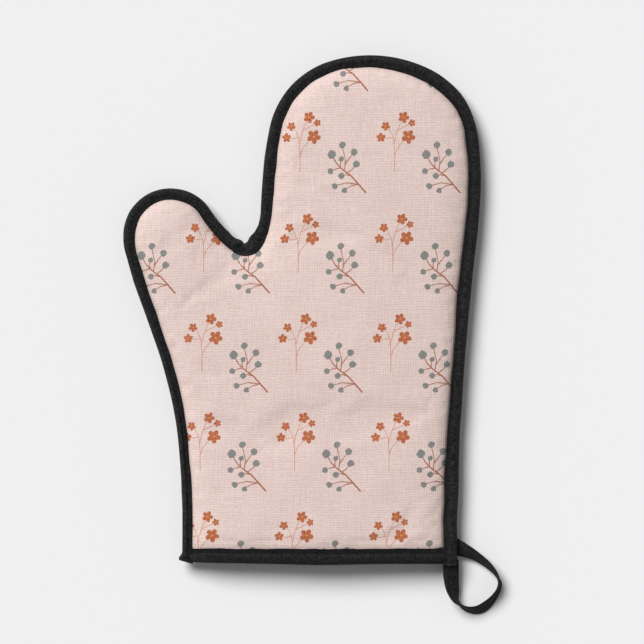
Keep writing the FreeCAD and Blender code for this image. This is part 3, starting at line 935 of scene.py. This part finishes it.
# -------- materials
class Tree:
    """The nodes of one material or node group, with short ways to add and join them."""

    def __init__(self, tree):
        self.nodes = tree.nodes
        self.links = tree.links

    def add(self, kind, inputs=None, **settings):
        node = self.nodes.new(kind)
        for name, value in settings.items():
            setattr(node, name, value)
        for key, value in (inputs or {}).items():
            self.join(node.inputs[key], value)
        return node

    def join(self, socket, value):
        if isinstance(value, bpy.types.NodeSocket):
            self.links.new(value, socket)
        else:
            socket.default_value = value

    def math(self, operation, *values):
        return self.add("ShaderNodeMath", dict(enumerate(values)), operation=operation).outputs[0]

    def plus(self, *values):
        return self.math("ADD", *values)

    def minus(self, *values):
        return self.math("SUBTRACT", *values)

    def times(self, *values):
        return self.math("MULTIPLY", *values)

    def most(self, *values):
        return self.math("MAXIMUM", *values)

    def vector(self, operation, *values, scale=None):
        node = self.add("ShaderNodeVectorMath", dict(enumerate(values)), operation=operation)
        if scale is not None:
            self.join(node.inputs["Scale"], scale)
        return node.outputs["Value" if operation in ("LENGTH", "DOT_PRODUCT") else "Vector"]

    def stretched(self, place, x, y, z=1.0):
        return self.vector("MULTIPLY", place, (x, y, z))

    def noise(self, place, scale, detail=2.0, roughness=0.5):
        inputs = {"Vector": place, "Scale": scale, "Detail": detail, "Roughness": roughness}
        return self.add("ShaderNodeTexNoise", inputs).outputs["Fac"]

    def step(self, value, low, high, start=0.0, end=1.0):
        """Smooth change from start to end as the value goes from low to high."""
        inputs = {"Value": value, "From Min": low, "From Max": high, "To Min": start, "To Max": end}
        return self.add("ShaderNodeMapRange", inputs, interpolation_type="SMOOTHSTEP").outputs[0]

    def mix(self, share, first, second):
        node = self.add("ShaderNodeMix", data_type="RGBA")
        self.join(node.inputs["Factor"], share)
        self.join(node.inputs["A"], first)
        self.join(node.inputs["B"], second)
        return node.outputs["Result"]

    def split(self, vector):
        return self.add("ShaderNodeSeparateXYZ", {0: vector}).outputs

    def combine(self, x, y, z=0.0):
        return self.add("ShaderNodeCombineXYZ", {0: x, 1: y, 2: z}).outputs[0]

    def ink(self, outside):
        """Full inside a printed shape, and none outside it."""
        return self.step(outside, -PRINT_EDGE, PRINT_EDGE, 1.0, 0.0)

    def cloth_place(self):
        """The place on the flat cloth, in millimetres."""
        return self.add("ShaderNodeAttribute", attribute_name="cloth").outputs["Vector"]

    def object_place(self, scale):
        return self.vector("SCALE", self.add("ShaderNodeTexCoord").outputs["Object"], scale=scale)


def linear(red, green, blue):
    """A colour from its screen values, under this scene's light."""
    def channel(value):
        value /= 255
        return (value / 12.92 if value <= 0.04045 else ((value + 0.055) / 1.055) ** 2.4) / LIGHT_LEVEL
    return (channel(red), channel(green), channel(blue), 1.0)


PINK_HIGH = linear(231, 209, 202)
PINK_LOW = linear(226, 203, 196)
PINK_GAP = linear(203, 179, 171)
PINK_THREAD = linear(240, 223, 217)
ORANGE_DARK = linear(162, 82, 44)
ORANGE = linear(194, 106, 58)
EYE = linear(235, 160, 96)
RUST = linear(158, 86, 52)
BERRY_DARK = linear(114, 118, 114)
BERRY_PALE = linear(137, 140, 136)
# painted shade near the tapes' stitched edges and the cuff tape's fold
BLACK_PAINTED_SHADE = linear(6, 5, 8)
BLACK_DEEP = linear(14, 13, 16)
BLACK_WORN = linear(38, 37, 39)
BLACK_LINT = linear(86, 84, 84)
LINING_LOW = linear(208, 200, 184)
LINING_HIGH = linear(222, 215, 201)
LINING_GAP_COLOUR = linear(176, 166, 148)
LINING_THREAD = linear(232, 227, 216)
FIBRE_LOW = linear(214, 211, 203)
FIBRE_HIGH = linear(238, 236, 231)
FIBRE_CLUMP = linear(205, 199, 186)
CARD_LOW = (0.895, 0.895, 0.895, 1.0)
CARD_HIGH = (0.905, 0.905, 0.905, 1.0)


def new_group(name, places, numbers, outputs):
    """An empty node group with its input and output nodes' sockets."""
    group = bpy.data.node_groups.new(name, "ShaderNodeTree")
    for sockets, way, kind in ((places, "INPUT", "NodeSocketVector"), (numbers, "INPUT", "NodeSocketFloat"),
                               (outputs, "OUTPUT", "NodeSocketFloat")):
        for socket in sockets:
            group.interface.new_socket(socket, in_out=way, socket_type=kind)
    tree = Tree(group)
    return group, tree, tree.add("NodeGroupInput").outputs, tree.add("NodeGroupOutput").inputs


def line_group():
    """Covers a straight line between two points, thinning towards its end."""
    group, tree, given, result = new_group("print line", ["Place", "Start", "End"], ["Width"], ["Cover"])
    to_place = tree.vector("SUBTRACT", given["Place"], given["Start"])
    to_end = tree.vector("SUBTRACT", given["End"], given["Start"])
    share = tree.math("DIVIDE", tree.vector("DOT_PRODUCT", to_place, to_end),
                      tree.vector("DOT_PRODUCT", to_end, to_end))
    share = tree.math("MINIMUM", tree.most(share, 0.0), 1.0)
    nearest = tree.vector("SCALE", to_end, scale=share)
    distance = tree.vector("LENGTH", tree.vector("SUBTRACT", to_place, nearest))
    tree.join(result["Cover"], tree.ink(tree.minus(distance, tree.times(given["Width"], 0.5))))
    return group


def flower_group():
    """Covers a flower of five round petals, and its centre."""
    group, tree, given, result = new_group("print flower", ["Place", "Centre"], ["Radius", "Turn"],
                                           ["Cover", "Eye"])
    local = tree.vector("SUBTRACT", given["Place"], given["Centre"])
    x, y, _ = tree.split(local)
    half_petal = math.pi / 5
    angle = tree.plus(tree.math("ARCTAN2", y, x), given["Turn"])
    angle = tree.math("WRAP", angle, half_petal, -half_petal)
    radius = tree.vector("LENGTH", local)
    along = tree.times(radius, tree.math("COSINE", angle))
    along = tree.minus(along, tree.times(given["Radius"], PETAL_PLACE))
    across = tree.times(radius, tree.math("SINE", angle))
    from_petal = tree.minus(tree.vector("LENGTH", tree.combine(tree.times(along, PETAL_SQUASH), across)),
                            tree.times(given["Radius"], PETAL_SIZE))
    from_heart = tree.minus(radius, tree.times(given["Radius"], HEART_SIZE))
    tree.join(result["Cover"], tree.ink(tree.math("MINIMUM", from_petal, from_heart)))
    tree.join(result["Eye"], tree.ink(tree.minus(radius, tree.times(given["Radius"], EYE_SIZE))))
    return group


def berry_group():
    """Covers a round, slightly uneven berry."""
    group, tree, given, result = new_group("print berry", ["Place", "Centre"], ["Radius"], ["Cover"])
    local = tree.vector("SUBTRACT", given["Place"], given["Centre"])
    uneven = tree.times(tree.minus(tree.noise(given["Place"], 0.4), 0.5), 1.6)
    distance = tree.plus(tree.vector("LENGTH", local), uneven)
    tree.join(result["Cover"], tree.ink(tree.minus(distance, given["Radius"])))
    return group


def repeated(tree, place, centre, low_y):
    """The place within the repeat of the print, measured from a centre."""
    local = tree.vector("SUBTRACT", place, (*centre, 0.0))
    x, y, _ = tree.split(local)
    x = tree.math("WRAP", x, REPEAT_X / 2, -REPEAT_X / 2)
    y = tree.math("WRAP", y, low_y + REPEAT_Y, low_y)
    return tree.combine(x, y)


def covered(tree, group, place, rows):
    """The most that any of the rows of group inputs covers, for each of the group's outputs."""
    totals = None
    for row in rows:
        node = tree.add("ShaderNodeGroup", node_tree=group)
        tree.join(node.inputs["Place"], place)
        for socket, value in zip(list(node.inputs)[1:], row):
            tree.join(socket, (*value, 0.0) if isinstance(value, tuple) else value)
        if totals is None:
            totals = list(node.outputs)
        else:
            totals = [tree.most(a, b) for a, b in zip(totals, node.outputs)]
    return totals


def chains(stems, width, taper):
    """Rows for the line group along bent stems."""
    return [(a, b, width * (1 - (1 - taper) * i / (len(stem) - 1)))
            for stem in stems for i, (a, b) in enumerate(zip(stem, stem[1:]))]


def weave(tree, place, pitch):
    """Height of a plain weave and the unevenness of its threads. The place is in millimetres."""
    x, y, _ = tree.split(place)
    x = tree.plus(x, tree.times(tree.noise(place, 0.07, 1.0), WEAVE_DRIFT))
    y = tree.plus(y, tree.times(tree.noise(place, 0.06, 1.0), WEAVE_DRIFT))
    warp, weft = [tree.math("ABSOLUTE", tree.math("SINE", tree.times(v, math.pi / p)))
                  for v, p in zip((x, y), pitch)]
    warp_noise = tree.noise(tree.stretched(place, 1.0, 0.06), 1.0, 1.0)
    weft_noise = tree.noise(tree.stretched(place, 0.06, 1.0), 1.0, 1.0)
    threads = tree.plus(tree.times(warp, warp_noise), tree.times(weft, weft_noise))
    uneven = tree.minus(tree.plus(warp_noise, weft_noise), 1.0)
    return threads, uneven


def new_material(name):
    material = bpy.data.materials.new(name)
    material.use_nodes = True
    return material, Tree(material.node_tree)


def dress(tree, colour, roughness, bump=None, gloss=0.25, sheen=0.0, sheen_roughness=0.5, tint=(1, 1, 1)):
    """Join the looks to the shader. The bump is its height, distance and strength."""
    shader = tree.nodes["Principled BSDF"].inputs
    looks = {"Base Color": colour, "Roughness": roughness, "Specular IOR Level": gloss, "Sheen Weight": sheen,
             "Sheen Roughness": sheen_roughness, "Sheen Tint": (*tint, 1)}
    for socket, value in looks.items():
        tree.join(shader[socket], value)
    if bump:
        inputs = dict(zip(("Height", "Distance", "Strength"), bump))
        tree.join(shader["Normal"], tree.add("ShaderNodeBump", inputs).outputs[0])


def printed_cotton():
    """Plain-woven cotton with slubs, printed with sprigs and berry twigs."""
    material, tree = new_material("printed_cotton")
    place = tree.cloth_place()
    height, uneven = weave(tree, place, PRINTED_WEAVE)
    mottle = tree.noise(place, 0.045, 3.0, 0.6)
    ground = tree.mix(tree.step(mottle, 0.3, 0.7), PINK_LOW, PINK_HIGH)
    ground = tree.mix(tree.times(tree.step(height, 0.15, 0.85, 1.0, 0.0), 0.50), ground, PINK_GAP)
    ground = tree.mix(tree.times(tree.step(uneven, -0.15, 0.25), 0.30), ground, PINK_THREAD)
    slubs = tree.noise(tree.stretched(place, 0.55, 1.0), 0.8, 3.0, 0.7)
    ground = tree.mix(tree.step(slubs, 0.36, 0.58, 0.42, 0.0), ground, PINK_GAP)

    # ink follows the threads a little, so printed edges are not quite smooth
    jitter = tree.times(tree.minus(tree.noise(place, 1.3, 1.0), 0.5), 0.45)
    inked = tree.vector("ADD", place, tree.combine(jitter, jitter))
    line = line_group()
    sprig = repeated(tree, inked, SPRIG_CENTRE, SPRIG_LOW)
    twig = repeated(tree, inked, TWIG_CENTRE, TWIG_LOW)
    stems = covered(tree, line, sprig, chains(SPRIG_STEMS, *STEM_LINE))[0]
    petals, eyes = covered(tree, flower_group(), sprig, SPRIG_FLOWERS)
    trunk = covered(tree, line, twig, chains([TWIG_TRUNK], *TRUNK_LINE))[0]
    shoots = covered(tree, line, twig, chains(TWIG_SHOOTS, *SHOOT_LINE))[0]
    berries = covered(tree, berry_group(), twig, TWIG_BERRIES)[0]

    gaps = tree.step(height, 0.15, 0.8, 0.80, 1.0)
    colour = tree.mix(tree.times(stems, 0.72), ground, ORANGE)
    wood = tree.most(trunk, tree.times(shoots, 0.9))
    colour = tree.mix(tree.times(wood, gaps), colour, RUST)
    grey = tree.mix(tree.noise(place, 0.6, 2.0), BERRY_DARK, BERRY_PALE)
    colour = tree.mix(tree.times(berries, gaps), colour, grey)
    petal = tree.mix(tree.step(tree.noise(place, 0.9, 2.0), 0.35, 0.65), ORANGE_DARK, ORANGE)
    colour = tree.mix(tree.times(petals, gaps), colour, petal)
    colour = tree.mix(tree.times(eyes, 0.85), colour, EYE)
    dress(tree, colour, tree.step(height, 0.0, 1.2, 0.95, 0.80), bump=(height, 0.00022, 0.55), sheen=0.10)
    return material


def black_binding():
    """Worn black cotton twill tape, with painted shade near its stitched edges and the cuff tape's fold."""
    material, tree = new_material("black_binding")
    place = tree.add("ShaderNodeAttribute", attribute_name="tape").outputs["Vector"]
    place = tree.vector("SCALE", place, scale=1000.0)
    x, y, painted_shade = tree.split(place)
    drift = tree.times(tree.noise(place, 0.35, 2.0), 1.3)
    slant = tree.plus(tree.plus(x, y), drift)
    ribs = tree.math("SINE", tree.times(slant, 2 * math.pi / TWILL_PITCH))
    cross = tree.math("SINE", tree.times(tree.minus(x, y), 2 * math.pi / CROSS_PITCH))
    fuzz = tree.noise(place, 2.4, 3.0, 0.7)
    wear = tree.noise(place, 0.30, 5.0, 0.75)
    rubbed = tree.noise(place, 0.75, 3.0, 0.7)
    height = tree.plus(tree.plus(tree.times(ribs, 0.35), tree.times(cross, 0.15)), fuzz)
    height = tree.plus(height, tree.times(rubbed, 0.8))
    colour = tree.mix(tree.step(wear, 0.38, 0.64), BLACK_DEEP, BLACK_WORN)
    lint = tree.times(tree.step(height, 0.6, 1.6), tree.step(rubbed, 0.38, 0.66, 0.0, 0.8))
    colour = tree.mix(lint, colour, BLACK_LINT)
    # painted shade near the stitched edges and the cuff's fold, from the tape attribute's third value
    colour = tree.mix(tree.times(painted_shade, 0.8), colour, BLACK_PAINTED_SHADE)
    dress(tree, colour, tree.step(fuzz, 0.2, 0.8, 0.70, 0.92), bump=(height, 0.00045, 0.9), gloss=0.16,
          sheen=0.05, sheen_roughness=0.40, tint=(0.75, 0.76, 0.78))
    return material


def lining_cotton():
    """Unbleached plain-woven cotton."""
    material, tree = new_material("lining_cotton")
    place = tree.cloth_place()
    height, uneven = weave(tree, place, LINING_WEAVE)
    colour = tree.mix(tree.noise(place, 0.05, 3.0), LINING_LOW, LINING_HIGH)
    colour = tree.mix(tree.times(tree.step(height, 0.1, 1.1, 1.0, 0.0), 0.35), colour, LINING_GAP_COLOUR)
    colour = tree.mix(tree.times(tree.step(uneven, 0.0, 0.3), 0.3), colour, LINING_THREAD)
    dress(tree, colour, tree.step(height, 0.0, 1.2, 0.95, 0.82), bump=(height, 0.00018, 0.5), sheen=0.08)
    return material


def batting_wadding():
    """Matted white fibres."""
    material, tree = new_material("batting")
    place = tree.object_place(1000.0)
    tangle = tree.combine(*[tree.noise(place, scale) for scale in (0.2, 0.31, 0.27)])
    tangled = tree.vector("ADD", place, tree.vector("SCALE", tangle, scale=6.0))
    fibres = tree.noise(tree.stretched(tangled, 2.5, 0.4), 1.0, 5.0, 0.7)
    clumps = tree.noise(place, 0.12, 3.0)
    colour = tree.mix(tree.step(fibres, 0.3, 0.7), FIBRE_LOW, FIBRE_HIGH)
    colour = tree.mix(tree.times(clumps, 0.3), colour, FIBRE_CLUMP)
    dress(tree, colour, tree.step(fibres, 0.2, 0.8, 0.9, 1.0), bump=(fibres, 0.0006, 0.7))
    return material


def black_thread():
    """Two-ply polyester thread."""
    material, tree = new_material("black_thread")
    place = tree.object_place(1000.0)
    x, y, z = tree.split(place)
    slant = tree.plus(tree.plus(x, y), tree.times(z, 1.7))
    ply = tree.math("SINE", tree.times(slant, 2 * math.pi / PLY_PITCH))
    fuzz = tree.noise(place, 3.0, 2.0)
    height = tree.plus(ply, fuzz)
    colour = tree.mix(tree.step(height, -0.5, 1.5), BLACK_DEEP, BLACK_WORN)
    dress(tree, colour, tree.step(fuzz, 0.2, 0.8, 0.55, 0.75), bump=(height, 0.00005, 0.5), gloss=0.16)
    return material


def floor_card():
    """Matt pale card with a barely visible grain."""
    material, tree = new_material("floor_card")
    grain = tree.noise(tree.object_place(1000.0), 0.9, 3.0)
    dress(tree, tree.mix(grain, CARD_LOW, CARD_HIGH), tree.step(grain, 0.2, 0.8, 0.9, 1.0), gloss=0.0)
    return material


# -------- floor and light
def add_floor(material):
    corners = [(x * FLOOR_REACH, y * FLOOR_REACH, 0) for x, y in ((-1, -1), (1, -1), (1, 1), (-1, 1))]
    floor = new_object("floor", corners, [(0, 1, 2, 3)], smooth=False)
    floor.data.materials.append(material)


def add_light():
    sun = bpy.data.lights.new("window", "SUN")
    sun.energy = SUN_STRENGTH
    sun.angle = math.radians(SUN_SPREAD)
    in_scene("window", sun).rotation_euler = Vector(SUN_FROM).to_track_quat("Z", "Y").to_euler()
    world = bpy.data.worlds.new("studio")
    world.use_nodes = True
    background = world.node_tree.nodes["Background"]
    background.inputs["Color"].default_value = (1.0, 1.0, 1.0, 1.0)
    background.inputs["Strength"].default_value = SKY_STRENGTH
    bpy.context.scene.world = world
    bpy.context.scene.view_settings.view_transform = "Standard"


def finish_piece(obj, material, slot, *nodes):
    """Give a piece its material and hide the CAD nodes that it stands for."""
    obj.data.materials.clear()
    obj.data.materials.append(material)
    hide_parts(*nodes)


add_camera()
add_light()
add_floor(floor_card())

PRINT = printed_cotton()
TWILL = black_binding()
INSIDE = lining_cotton()
WADDING = batting_wadding()
THREAD = black_thread()

loop, loop_line, loop_length = hanging_loop()
finish_piece(loop, TWILL, "black_binding", "hanging_loop")
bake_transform(loop)

CUT_POINTS, CUT_FACES = flat_cut()

binding, binding_rings = side_binding()
finish_piece(binding, TWILL, "black_binding", "side_binding")
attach(binding, "mitt")
for half, side, rise, fold_list, seed, stitch_row in (
        ("front", 1, FRONT_RISE, FRONT_FOLDS, 1, STITCH_ROW),
        ("back", -1, BACK_RISE, [], 5, LOWER_STITCH_ROW)):
    outer = outer_cloth(half + "_outer_cloth", side, rise, fold_list, seed)
    lining, batting = inner_layers(half, outer, side)
    cuff, cuff_row = cuff_binding(half, side, rise)
    finish_piece(outer, PRINT, "printed_cotton", half + "_outer_panel")
    finish_piece(lining, INSIDE, "lining_cotton", half + "_lining")
    finish_piece(batting, WADDING, "batting", half + "_batting")
    finish_piece(cuff, TWILL, "black_binding", half + "_cuff_binding")
    side_row = binding_rings[UNSTITCHED_RINGS:-UNSTITCHED_RINGS, stitch_row]
    side_stitches = row_of_stitches(half + "_side_threads", side_row, side)
    cuff_stitches = row_of_stitches(half + "_cuff_threads", cuff_row, side)
    finish_piece(side_stitches, THREAD, "black_thread", half + "_side_stitches")
    finish_piece(cuff_stitches, THREAD, "black_thread", half + "_cuff_stitches")
    for piece in (outer, lining, batting, cuff, side_stitches, cuff_stitches):
        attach(piece, "mitt")

tacks = bar_tacks(binding_rings)
finish_piece(tacks, THREAD, "black_thread", "loop_bar_tacks")
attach(tacks, "mitt")
